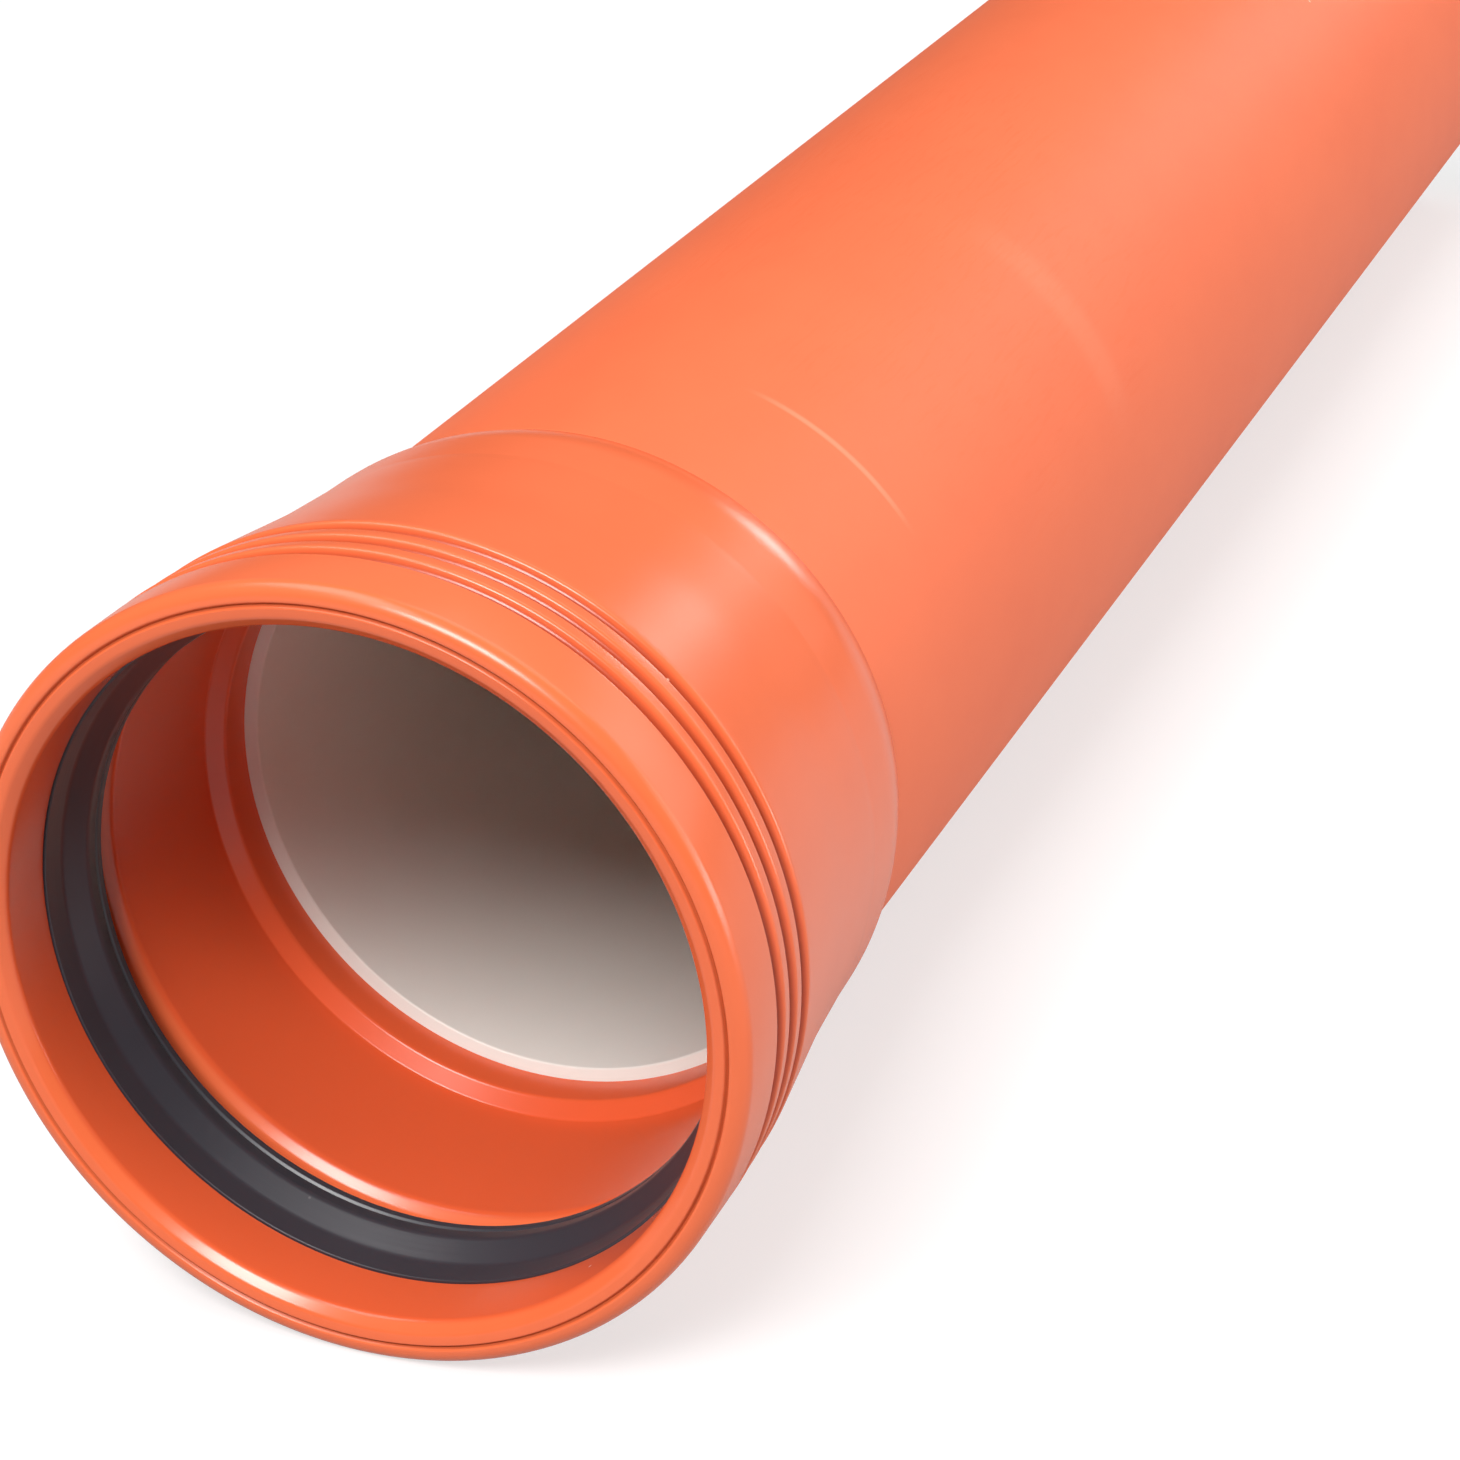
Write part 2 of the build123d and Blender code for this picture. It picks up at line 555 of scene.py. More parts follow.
class SurfaceEffects:
    """Shader node groups that several finishes share, each built once.

    Attributes:
        broad_tone: wide patches of the plastic's tone.
        fine_tone: small patches of the plastic's tone.
        broad_share: share of the wide patches in the tone.
        speck_cells: cells per metre, of which some hold a speck.
        speck_core: distance from a cell's middle at which a speck is full.
        speck_edge: distance from a cell's middle at which a speck ends.
        rub_patches: where the pipe was handled.
        rub_scratches: fine scratches that break up those patches.
    """

    broad_tone: NoiseLayer = NoiseLayer((9.0, 5.0, 9.0), 3.0, 0.32, 0.70)
    fine_tone: NoiseLayer = NoiseLayer((70.0, 40.0, 70.0), 4.0, 0.35, 0.75)
    broad_share: float = 0.7
    speck_cells: Scale = (95.0, 95.0, 95.0)
    speck_core: float = 0.03
    speck_edge: float = 0.075
    rub_patches: NoiseLayer = NoiseLayer((7.0, 4.0, 7.0), 2.0, 0.52, 0.72)
    rub_scratches: NoiseLayer = NoiseLayer((700.0, 60.0, 380.0), 3.0, 0.50, 0.68)

    def __init__(self) -> None:
        """Build the groups."""
        self.mottle = self.make_mottle()
        self.specks = self.make_specks()
        self.rub = self.make_rub()

    @staticmethod
    def new_group(name: str, label: str, value: float) -> tuple[Graph, Socket, Socket]:
        """Make a group with one number as its input and a mask as its output.

        Args:
            name: the group's name.
            label: the input's name.
            value: the input's default value.

        Returns:
            The group's nodes, the number's socket and the mask's socket.
        """
        tree = bpy.data.node_groups.new(name, "ShaderNodeTree")
        number = tree.interface.new_socket(label, in_out="INPUT", socket_type="NodeSocketFloat")
        number.default_value = value
        tree.interface.new_socket("Mask", in_out="OUTPUT", socket_type="NodeSocketFloat")
        graph = Graph(tree)
        given = graph.node("NodeGroupInput").outputs[label]
        mask = graph.node("NodeGroupOutput").inputs["Mask"]
        return graph, given, mask

    def make_mottle(self) -> bpy.types.NodeTree:
        """Slow change of tone over the plastic, as pigment that mixed unevenly.

        Returns:
            The node group.
        """
        graph, strength, mask = self.new_group("plastic_mottle", "Strength", 1.0)
        broad = graph.math("MULTIPLY", self.broad_tone.mask(graph), self.broad_share)
        fine = graph.math("MULTIPLY", self.fine_tone.mask(graph), 1.0 - self.broad_share)
        both = graph.math("ADD", broad, fine)
        graph.link(graph.math("MULTIPLY", both, strength), mask)
        return graph.tree

    def make_specks(self) -> bpy.types.NodeTree:
        """Sparse small specks of dust and pale dots on the plastic.

        Returns:
            The node group.
        """
        graph, density, mask = self.new_group("dust_specks", "Density", 0.05)
        cells = graph.node("ShaderNodeTexVoronoi", feature="F1")
        cells.inputs["Scale"].default_value = 1.0
        graph.link(graph.place(self.speck_cells), cells.inputs["Vector"])
        dot = graph.ramp(cells.outputs["Distance"], self.speck_core, self.speck_edge, 1.0, 0.0)
        chosen = graph.node("ShaderNodeSeparateColor")
        graph.link(cells.outputs["Color"], chosen.inputs["Color"])
        kept = graph.math("LESS_THAN", chosen.outputs["Red"], density)
        graph.link(graph.math("MULTIPLY", dot, kept), mask)
        return graph.tree

    def make_rub(self) -> bpy.types.NodeTree:
        """Faint rubbed patches where the pipe was handled, broken up by fine scratches.

        Returns:
            The node group.
        """
        graph, amount, mask = self.new_group("handling_rub", "Amount", 0.5)
        rubbed = graph.math("MULTIPLY", self.rub_patches.mask(graph), self.rub_scratches.mask(graph))
        graph.link(graph.math("MULTIPLY", rubbed, amount), mask)
        return graph.tree


@dataclass(frozen=True)
class Mark:
    """A place on a piece where its colour changes.

    Attributes:
        colour: the colour there, linear red, green and blue.
        strength: share of that colour where the mark is full.
    """

    colour: Colour
    strength: float

    def mask(self, graph: Graph) -> Socket:
        """Where the mark lies, from 0 to 1."""
        raise NotImplementedError


@dataclass(frozen=True)
class InsideShade(Mark):
    """Painted shade: a deeper orange over the inside of the socket and the ring.

    Attributes:
        radius: radius within which the painted shade is full.
        blend: width over which it fades out.
    """

    radius: float
    blend: float = 1.2 * MM

    def mask(self, graph: Graph) -> Socket:
        """Full inside the radius, fading out over the blend."""
        return graph.ramp(graph.radius(), self.radius, self.radius + self.blend, 1.0, 0.0)


@dataclass(frozen=True)
class RimShade(Mark):
    """Painted shade in the narrow groove between the ring and the socket, broken into patches.

    Attributes:
        radius: radius of the groove's middle.
        half_width: half the groove's width.
        place: place of the rim along the axis.
        core_share: share of the half width within which the painted shade is full.
        edge_share: share of the half width at which it ends.
        depth: depth behind the rim at which its middle lies.
        depth_core: half length of the full painted shade along the axis.
        depth_edge: half length at which it ends.
        least: level between the patches.
        patches: level that the noise adds.
        patch_scale: how many patches per metre along each axis.
        patch_detail: octaves of the patches' noise.
    """

    radius: float
    half_width: float
    place: float
    core_share: float = 0.45
    edge_share: float = 1.15
    depth: float = 1.3 * MM
    depth_core: float = 0.6 * MM
    depth_edge: float = 1.3 * MM
    least: float = 0.55
    patches: float = 0.8
    patch_scale: Scale = (60.0, 60.0, 60.0)
    patch_detail: float = 4.0

    def mask(self, graph: Graph) -> Socket:
        """Full in the groove's depth, patchy round the rim.

        Args:
            graph: the material's nodes.

        Returns:
            The mask's socket.
        """
        core = self.core_share * self.half_width
        edge = self.edge_share * self.half_width
        across = graph.band(graph.radius(), self.radius, core, edge)
        deep = graph.band(graph.along(), self.place + self.depth, self.depth_core, self.depth_edge)
        noise = graph.noise(self.patch_scale, self.patch_detail)
        patchy = graph.math("ADD", self.least, graph.math("MULTIPLY", noise, self.patches))
        return graph.math("MULTIPLY", graph.math("MULTIPLY", across, deep), patchy)


@dataclass(frozen=True)
class GrooveShade(Mark):
    """Painted shade: a deeper tone down in the collar's grooves.

    Attributes:
        front: place of the first groove's front end along the axis.
        back: place of the last groove's back end.
        front_radius: radius of the crests at the front end.
        back_radius: radius of the crests at the back end.
        depth: depth of a groove.
        start_share: share of the depth at which the painted shade starts.
        full_share: share of the depth at which it is full.
        end_blend: length over which it fades out at both ends.
    """

    front: float
    back: float
    front_radius: float
    back_radius: float
    depth: float
    start_share: float = 0.15
    full_share: float = 0.9
    end_blend: float = 0.5 * MM

    def mask(self, graph: Graph) -> Socket:
        """Grows with the depth below the line of the crests.

        Args:
            graph: the material's nodes.

        Returns:
            The mask's socket.
        """
        place = graph.along()
        crest = graph.ramp(
            place, self.front, self.back, self.front_radius, self.back_radius, smooth=False
        )
        below = graph.math("SUBTRACT", crest, graph.radius())
        middle = (self.front + self.back) / 2
        half = (self.back - self.front) / 2
        there = graph.band(place, middle, half - self.end_blend, half)
        deep = graph.ramp(below, self.start_share * self.depth, self.full_share * self.depth)
        return graph.math("MULTIPLY", deep, there)


@dataclass(frozen=True)
class RingSheen(Mark):
    """Painted highlight: a faint pale line on a part of the barrel's round.

    Attributes:
        place: place along the axis.
        core: half width of the full line.
        edge: half width at which it ends.
        turn: degrees from the top to its middle.
        fade: degrees to both sides of its middle at which it ends.
        full_share: share of the fade within which it is full.
    """

    place: float
    core: float
    edge: float
    turn: float
    fade: float
    full_share: float = 0.25

    def mask(self, graph: Graph) -> Socket:
        """A thin band that fades out to both sides of its middle.

        Args:
            graph: the material's nodes.

        Returns:
            The mask's socket.
        """
        line = graph.band(graph.along(), self.place, self.core, self.edge)
        outwards = graph.node("ShaderNodeVectorMath", operation="NORMALIZE")
        graph.link(graph.place((1.0, 0.0, 1.0)), outwards.inputs[0])
        towards = graph.node("ShaderNodeVectorMath", operation="DOT_PRODUCT")
        graph.link(outwards.outputs["Vector"], towards.inputs[0])
        turn = math.radians(self.turn)
        towards.inputs[1].default_value = (math.sin(turn), 0.0, math.cos(turn))
        far = math.cos(math.radians(self.fade))
        near = math.cos(math.radians(self.fade * self.full_share))
        return graph.math("MULTIPLY", line, graph.ramp(towards.outputs["Value"], far, near))


@dataclass(frozen=True)
class Finish:
    """Finish of one of the pipe's materials.

    Attributes:
        slot: the record's material slot.
        colour: main colour, linear red, green and blue.
        shade: colour where the pigment lies thicker.
        speck: colour of dust specks.
        roughness: roughness of the clean surface.
        rubbed: roughness added where the surface is rubbed.
        mottle: strength of the slow change of tone.
        density: share of the cells that hold a speck.
        grain: which way the fine lines run.
        grain_height: height of the fine lines, in metres.
        specular: specular level of the surface.
        grain_detail: octaves of the fine lines.
        grain_strength: strength of the fine lines' bump.
        marks: places where the colour changes.
    """

    slot: Slot
    colour: Colour
    shade: Colour
    speck: Colour
    roughness: float
    rubbed: float
    mottle: float
    density: float
    grain: Grain
    grain_height: float
    specular: float = 0.5
    grain_detail: float = 3.0
    grain_strength: float = 0.5
    marks: tuple[Mark, ...] = ()

    def material(self, effects: SurfaceEffects) -> bpy.types.Material:
        """Build the finish's material.

        Args:
            effects: the shared node groups.

        Returns:
            The material.
        """
        made = bpy.data.materials.new(self.slot.value)
        made.use_nodes = True
        graph = Graph(made.node_tree)
        surface = graph.node("ShaderNodeBsdfPrincipled")
        surface.inputs["Specular IOR Level"].default_value = self.specular
        output = graph.node("ShaderNodeOutputMaterial")
        graph.link(surface.outputs["BSDF"], output.inputs["Surface"])
        graph.link(self.tone(graph, effects), surface.inputs["Base Color"])
        graph.link(self.gloss(graph, effects), surface.inputs["Roughness"])
        graph.link(self.relief(graph), surface.inputs["Normal"])
        return made

    def tone(self, graph: Graph, effects: SurfaceEffects) -> Socket:
        """Colour of the surface: pigment, mottle, marks and specks.

        Args:
            graph: the material's nodes.
            effects: the shared node groups.

        Returns:
            The colour's socket.
        """
        pigment = graph.mix(graph.effect(effects.mottle, self.mottle), self.colour, self.shade)
        for mark in self.marks:
            share = graph.math("MULTIPLY", mark.mask(graph), mark.strength)
            pigment = graph.mix(share, pigment, mark.colour)
        return graph.mix(graph.effect(effects.specks, self.density), pigment, self.speck)

    def gloss(self, graph: Graph, effects: SurfaceEffects) -> Socket:
        """Roughness of the surface: duller where it was rubbed."""
        return graph.math("ADD", graph.effect(effects.rub, self.rubbed), self.roughness)

    def relief(self, graph: Graph) -> Socket:
        """Fine lines of drawing, turning or moulding, as a bump.

        Args:
            graph: the material's nodes.

        Returns:
            The bent normal's socket.
        """
        bump = graph.node("ShaderNodeBump")
        bump.inputs["Distance"].default_value = self.grain_height
        bump.inputs["Strength"].default_value = self.grain_strength
        graph.link(graph.noise(self.grain.value, self.grain_detail), bump.inputs["Height"])
        return bump.outputs["Normal"]


@dataclass
class Piece:
    """A turned piece that stands for one solid of the frame.

    Attributes:
        node: the solid that it stands for.
        slot: the material slot that it takes its finish from.
        sizes: the main sizes from the frame.
    """

    node: ClassVar[Node]
    slot: ClassVar[Slot]
    sizes: PipeSizes

    def section(self) -> Section:
        """Draw the piece's section."""
        raise NotImplementedError

    def build(self, lathe: Lathe, finish: bpy.types.Material) -> bpy.types.Object:
        """Turn the piece, dress it and tie it to the frame.

        Args:
            lathe: the turning tool.
            finish: the material that dresses it.

        Returns:
            The finished object.
        """
        made = lathe.turn(f"dressed_{self.node.value}", self.section())
        made.data.materials.clear()
        made.data.materials.append(finish)
        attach(made, "root")
        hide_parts(self.node.value)
        LOG.info("%s: %d faces", made.name, len(made.data.polygons))
        return made


@dataclass
class BarrelWall(Piece):
    """Orange wall of the barrel, turned down under the socket and chamfered at the spigot end."""

    node: ClassVar[Node] = Node.PIPE_WALL
    slot: ClassVar[Slot] = Slot.ORANGE_PIPE
    end_land: float = 1.1 * MM
    chamfer_angle: float = 15.0
    chamfer_round: float = 30.0 * MM
    edge_round: float = 0.4 * MM

    def section(self) -> Section:
        """Draw the wall's section.

        Returns:
            The closed section.
        """
        size = self.sizes
        height = size.pipe_radius - size.layer_radius - self.end_land
        chamfer = height / math.tan(math.radians(self.chamfer_angle))
        drawn = Section()
        drawn.add(size.layer_radius, size.pipe_start)
        drawn.add(size.weld_radius, size.pipe_start)
        drawn.add(size.weld_radius, size.tail_end)
        drawn.add(size.pipe_radius, size.tail_end)
        drawn.add(size.pipe_radius, size.spigot_end - chamfer, self.chamfer_round)
        drawn.add(size.pipe_radius - height, size.spigot_end, self.edge_round)
        drawn.add(size.layer_radius, size.spigot_end)
        return drawn


@dataclass
class BarrelLining(Piece):
    """Pale inner layer of the barrel, with the bright rim that shows inside the socket."""

    node: ClassVar[Node] = Node.INNER_LAYER
    slot: ClassVar[Slot] = Slot.PALE_LAYER
    rim_slope: float = 1.3 * MM
    rim_round: float = 0.9 * MM
    deburr: float = 0.8 * MM
    deburr_round: float = 0.3 * MM

    def section(self) -> Section:
        """Draw the layer's section.

        Returns:
            The closed section.
        """
        size = self.sizes
        drawn = Section()
        drawn.add(size.layer_radius, size.pipe_start)
        drawn.add(size.layer_radius, size.spigot_end)
        drawn.add(size.bore_radius + self.deburr, size.spigot_end, self.deburr_round)
        drawn.add(size.bore_radius, size.spigot_end - self.deburr, self.deburr_round)
        drawn.add(size.bore_radius, size.pipe_start + self.rim_slope, self.rim_round)
        return drawn


@dataclass
class SocketMoulding(Piece):
    """Orange socket with its collar, three grooves, tapering body, guiding bore, stop and weld tail.

    Attributes:
        tail: corners of the tail that bends down to the pipe and ends in a low edge on it, each as the
            height above the pipe, the place behind the weld seat's end, and the rounding.
        land_lead: corners of the lead that the guiding bore starts with, each as the height above the
            bore, the place behind the bore's front end, and the rounding.
    """

    node: ClassVar[Node] = Node.SOCKET
    slot: ClassVar[Slot] = Slot.ORANGE_MOULDING
    ring_shoulder: float = 1.1 * MM
    rim_groove_width: float = 1.6 * MM
    rim_groove_depth: float = 1.1 * MM
    rim_edge_round: float = 0.7 * MM
    collar_corner: float = 5.0 * MM
    collar_length: float = 19.5 * MM
    groove_count: int = 3
    groove_pitch: float = 10.3 * MM
    groove_width: float = 5.2 * MM
    groove_depth: float = 3.0 * MM
    groove_wall_run: float = 1.0 * MM
    crest_round: float = 1.2 * MM
    floor_round: float = 2.0 * MM
    groove_shade_strength: float = 0.85
    body_drop: float = 1.5 * MM
    body_front_round: float = 8.0 * MM
    body_wall: float = 6.8 * MM
    body_bend_share: float = 0.6
    body_bend_round: float = 300.0 * MM
    shoulder_start: float = 6.0 * MM
    shoulder_wall: float = 4.8 * MM
    shoulder_step: float = 0.32 * MM
    shoulder_run: float = 3.6 * MM
    shoulder_round: float = 12.0 * MM
    tail: tuple[tuple[float, float, float], ...] = (
        (4.55 * MM, -5.9 * MM, 40.0 * MM),
        (3.2 * MM, 1.3 * MM, 40.0 * MM),
        (0.5 * MM, 9.4 * MM, 0.4 * MM),
    )
    land_lead: tuple[tuple[float, float, float], ...] = (
        (0.0, 1.6 * MM, 3.0 * MM),
        (3.2 * MM, -1.4 * MM, 3.0 * MM),
    )
    chamber_room: float = 2.6 * MM
    land_foot_round: float = 1.0 * MM
    stop_length: float = 3.2 * MM
    stop_round: float = 1.5 * MM

    def seat_radius(self) -> float:
        """Radius of the seat that the retaining ring fills."""
        return self.sizes.chamber_radius + self.ring_shoulder

    def groove_shade_mark(self, colour: Colour) -> GrooveShade:
        """Painted shade that follows the grooves.

        Args:
            colour: the painted shade's colour.

        Returns:
            The mark for the finish.
        """
        front = self.sizes.mouth + self.collar_length
        return GrooveShade(
            colour,
            self.groove_shade_strength,
            front=front,
            back=front + self.groove_count * self.groove_pitch,
            front_radius=self.sizes.collar_radius,
            back_radius=self.sizes.collar_radius - self.body_drop,
            depth=self.groove_depth,
        )

    def draw_outside(self, drawn: Section) -> None:
        """Draw the outside from the rim to the tail on the pipe.

        Args:
            drawn: the section to draw on.
        """
        size = self.sizes
        grooves_start = size.mouth + self.collar_length
        grooves_length = self.groove_count * self.groove_pitch
        drawn.add(size.collar_radius, size.mouth, self.collar_corner)
        for index in range(self.groove_count):
            share = (index + 0.5) / self.groove_count
            crest = size.collar_radius - share * self.body_drop
            self.draw_groove(drawn, crest, grooves_start + share * grooves_length)
        body_start = grooves_start + grooves_length
        body_bend = body_start + self.body_bend_share * (self.shoulder_start - body_start)
        drawn.add(size.collar_radius - self.body_drop, body_start, self.body_front_round)
        drawn.add(size.land_radius + self.body_wall, body_bend, self.body_bend_round)
        shoulder = size.land_radius + self.shoulder_wall
        half_step = self.shoulder_step / 2
        half_run = self.shoulder_run / 2
        drawn.add(shoulder + half_step, self.shoulder_start - half_run, self.shoulder_round)
        drawn.add(shoulder - half_step, self.shoulder_start + half_run, self.shoulder_round)
        for height, behind, rounding in self.tail:
            drawn.add(size.pipe_radius + height, size.tail_end + behind, rounding)

    def draw_groove(self, drawn: Section, crest: float, middle: float) -> None:
        """Draw one groove with rounded edges.

        Args:
            drawn: the section to draw on.
            crest: radius of the crests beside it.
            middle: place of its middle along the axis.
        """
        half_width = self.groove_width / 2
        half_floor = half_width - self.groove_wall_run
        floor = crest - self.groove_depth
        drawn.add(crest, middle - half_width, self.crest_round)
        drawn.add(floor, middle - half_floor, self.floor_round)
        drawn.add(floor, middle + half_floor, self.floor_round)
        drawn.add(crest, middle + half_width, self.crest_round)

    def draw_inside(self, drawn: Section) -> None:
        """Draw the inside from the weld tail back to the ring's seat.

        Args:
            drawn: the section to draw on.
        """
        size = self.sizes
        chamber_back = -size.land_length - self.chamber_room
        drawn.add(size.pipe_radius, size.tail_end + self.tail[-1][1])
        drawn.add(size.pipe_radius, size.tail_end)
        drawn.add(size.weld_radius, size.tail_end)
        drawn.add(size.weld_radius, size.pipe_start)
        drawn.add(size.layer_radius, size.pipe_start)
        drawn.add(size.layer_radius, self.stop_length, self.stop_round)
        drawn.add(size.land_radius, 0.0, self.land_foot_round)
        for height, behind, rounding in self.land_lead:
            drawn.add(size.land_radius + height, behind - size.land_length, rounding)
        drawn.add(size.chamber_radius, chamber_back)
        drawn.add(size.chamber_radius, size.ring_back)

    def draw_seat(self, drawn: Section) -> None:
        """Draw the seat of the retaining ring, up to the groove round its rim."""
        drawn.add(self.seat_radius(), self.sizes.ring_back)
        drawn.add(self.seat_radius(), self.sizes.mouth + self.rim_groove_depth)

    def section(self) -> Section:
        """Draw the moulding's section.

        Returns:
            The closed section.
        """
        drawn = Section()
        drawn.add(self.seat_radius() + self.rim_groove_width / 2, self.sizes.mouth, self.rim_edge_round)
        self.draw_outside(drawn)
        self.draw_inside(drawn)
        self.draw_seat(drawn)
        return drawn


@dataclass
class MouthRing(Piece):
    """Orange ring pressed into the socket's mouth, with a rounded lead for the pipe.

    Attributes:
        moulding: the socket that the ring sits in.
        mouth_lead: corners of the lead, each as the height above the ring's bore and the place behind
            the mouth.
    """

    node: ClassVar[Node] = Node.RETAINING_RING
    slot: ClassVar[Slot] = Slot.ORANGE_RING
    moulding: SocketMoulding
    relief: float = 0.6 * MM
    mouth_lead: tuple[tuple[float, float], ...] = ((3.2 * MM, 0.4 * MM), (0.0, 3.4 * MM))
    mouth_round: float = 2.6 * MM
    back_round: float = 0.5 * MM
    edge_round: float = 0.5 * MM

    def section(self) -> Section:
        """Draw the ring's section.

        Returns:
            The closed section.
        """
        size = self.sizes
        bore = size.land_radius + self.relief
        seat = self.moulding.seat_radius()
        drawn = Section()
        self.moulding.draw_seat(drawn)
        drawn.add(seat - self.moulding.rim_groove_width / 2, size.mouth, self.edge_round)
        for height, behind in self.mouth_lead:
            drawn.add(bore + height, size.mouth + behind, self.mouth_round)
        drawn.add(bore, size.ring_back, self.back_round)
        return drawn


@dataclass
class LipSeal(Piece):
    """Dark rubber seal in its free shape: a flat front, a cone that leans inwards and a thin lip behind it.

    Attributes:
        face: corners of the face that looks at the bore, from the lip's back edge to the front, each as
            the drop below the guiding bore's radius, the place behind the ring, and the rounding.
        heel: height of the back heel that stands against the chamber.
        notch_place: how deep behind the ring the notch between heel and lip reaches.
        notch_height: the notch's root above the guiding bore's radius.
    """

    node: ClassVar[Node] = Node.SEAL_RING
    slot: ClassVar[Slot] = Slot.SEAL_RUBBER
    face: tuple[tuple[float, float, float], ...] = (
        (3.2 * MM, 22.4 * MM, 0.5 * MM),
        (5.2 * MM, 21.8 * MM, 0.7 * MM),
        (5.0 * MM, 19.8 * MM, 0.5 * MM),
        (4.0 * MM, 19.0 * MM, 0.3 * MM),
        (5.2 * MM, 18.2 * MM, 0.5 * MM),
        (5.4 * MM, 14.2 * MM, 3.0 * MM),
        (0.8 * MM, 7.4 * MM, 3.5 * MM),
        (0.1 * MM, 0.0, 0.3 * MM),
    )
    heel: float = 2.4 * MM
    heel_round: float = 0.8 * MM
    notch_place: float = 17.6 * MM
    notch_height: float = 1.4 * MM
    notch_round: float = 1.0 * MM

    def section(self) -> Section:
        """Draw the seal's section.

        Returns:
            The closed section.
        """
        size = self.sizes
        drawn = Section()
        drawn.add(size.chamber_radius, size.ring_back)
        drawn.add(size.chamber_radius, size.seal_back)
        drawn.add(size.chamber_radius - self.heel, size.seal_back, self.heel_round)
        notch = size.land_radius + self.notch_height
        drawn.add(notch, size.ring_back + self.notch_place, self.notch_round)
        for drop, place, rounding in self.face:
            drawn.add(size.land_radius - drop, size.ring_back + place, rounding)
        return drawn


class Finishes:
    """All finishes of the pipe, made once as materials.

    Attributes:
        inside_strength: share of the painted shade over the inside.
        inside_margin: how far outside the guiding bore that painted shade stays full.
        rim_shade_strength: share of the painted shade's colour in the groove round the rim.
    """

    orange: Colour = (0.90, 0.170, 0.058)
    deep_orange: Colour = (0.84, 0.142, 0.046)
    ring_orange: Colour = (0.88, 0.160, 0.054)
    # Painted shade: deeper orange for the inside of the socket and the ring
    inside_shade_orange: Colour = (0.80, 0.118, 0.037)
    # Painted shade: dark orange down in the collar's grooves
    groove_shade_orange: Colour = (0.35, 0.037, 0.011)
    # Painted shade: dark orange in the groove round the rim, in patches
    rim_shade_orange: Colour = (0.26, 0.058, 0.022)
    # Painted highlight: pale orange of the faint lines on the barrel
    ring_sheen_orange: Colour = (0.98, 0.36, 0.21)
    orange_speck: Colour = (0.95, 0.62, 0.45)
    cream: Colour = (0.85, 0.845, 0.79)
    deep_cream: Colour = (0.81, 0.79, 0.72)
    cream_speck: Colour = (0.90, 0.88, 0.84)
    rubber_grey: Colour = (0.037, 0.037, 0.047)
    deep_rubber_grey: Colour = (0.027, 0.027, 0.034)
    rubber_speck: Colour = (0.18, 0.17, 0.17)
    inside_strength: float = 1.0
    inside_margin: float = 0.5 * MM
    rim_shade_strength: float = 0.45

    def __init__(self, sizes: PipeSizes, moulding: SocketMoulding) -> None:
        """Build the shared effects and a material for each slot.

        Args:
            sizes: the main sizes from the frame.
            moulding: the socket, whose grooves some marks follow.
        """
        effects = SurfaceEffects()
        # Painted shade over the inside of the socket and the ring
        inside = InsideShade(
            self.inside_shade_orange,
            self.inside_strength,
            radius=sizes.land_radius + self.inside_margin,
        )
        # Painted shade in the groove round the rim
        rim = RimShade(
            self.rim_shade_orange,
            self.rim_shade_strength,
            radius=moulding.seat_radius(),
            half_width=moulding.rim_groove_width / 2,
            place=sizes.mouth,
        )
        # Painted shade down in the collar's grooves
        grooves = moulding.groove_shade_mark(self.groove_shade_orange)
        self.barrel = self.barrel_finish().material(effects)
        self.moulding = self.moulding_finish((inside, rim, grooves)).material(effects)
        self.ring = self.ring_finish((inside, rim)).material(effects)
        self.lining = self.lining_finish().material(effects)
        self.rubber = self.rubber_finish().material(effects)

    def barrel_finish(self) -> Finish:
        """Drawn orange plastic with two faint painted highlights round part of it.

        Returns:
            The barrel's finish.
        """
        thin = RingSheen(
            self.ring_sheen_orange, strength=0.50,
            place=106.0 * MM, core=0.4 * MM, edge=2.2 * MM, turn=36.0, fade=20.0,
        )
        broad = RingSheen(
            self.ring_sheen_orange, strength=0.14,
            place=290.0 * MM, core=3.0 * MM, edge=14.0 * MM, turn=48.0, fade=28.0,
        )
        return Finish(
            Slot.ORANGE_PIPE, self.orange, self.deep_orange, self.orange_speck,
            roughness=0.56, rubbed=0.08, mottle=0.5, density=0.008,
            grain=Grain.ALONG, grain_height=0.05 * MM, marks=(thin, broad),
        )

    def moulding_finish(self, marks: tuple[Mark, ...]) -> Finish:
        """Moulded orange plastic, with painted shade inside, in its grooves and in the groove round its
        rim.

        Args:
            marks: places where its colour changes.

        Returns:
            The socket's finish.
        """
        return Finish(
            Slot.ORANGE_MOULDING, self.orange, self.deep_orange, self.orange_speck,
            roughness=0.26, rubbed=0.01, mottle=0.4, density=0.012,
            grain=Grain.NONE, grain_height=0.04 * MM, marks=marks,
        )

    def ring_finish(self, marks: tuple[Mark, ...]) -> Finish:
        """Moulded orange plastic of the mouth ring, with painted shade inside and in the groove round its
        rim.

        Args:
            marks: places where its colour changes.

        Returns:
            The ring's finish.
        """
        return Finish(
            Slot.ORANGE_RING, self.ring_orange, self.deep_orange, self.orange_speck,
            roughness=0.22, rubbed=0.05, mottle=0.4, density=0.008,
            grain=Grain.AROUND, grain_height=0.03 * MM, marks=marks,
        )

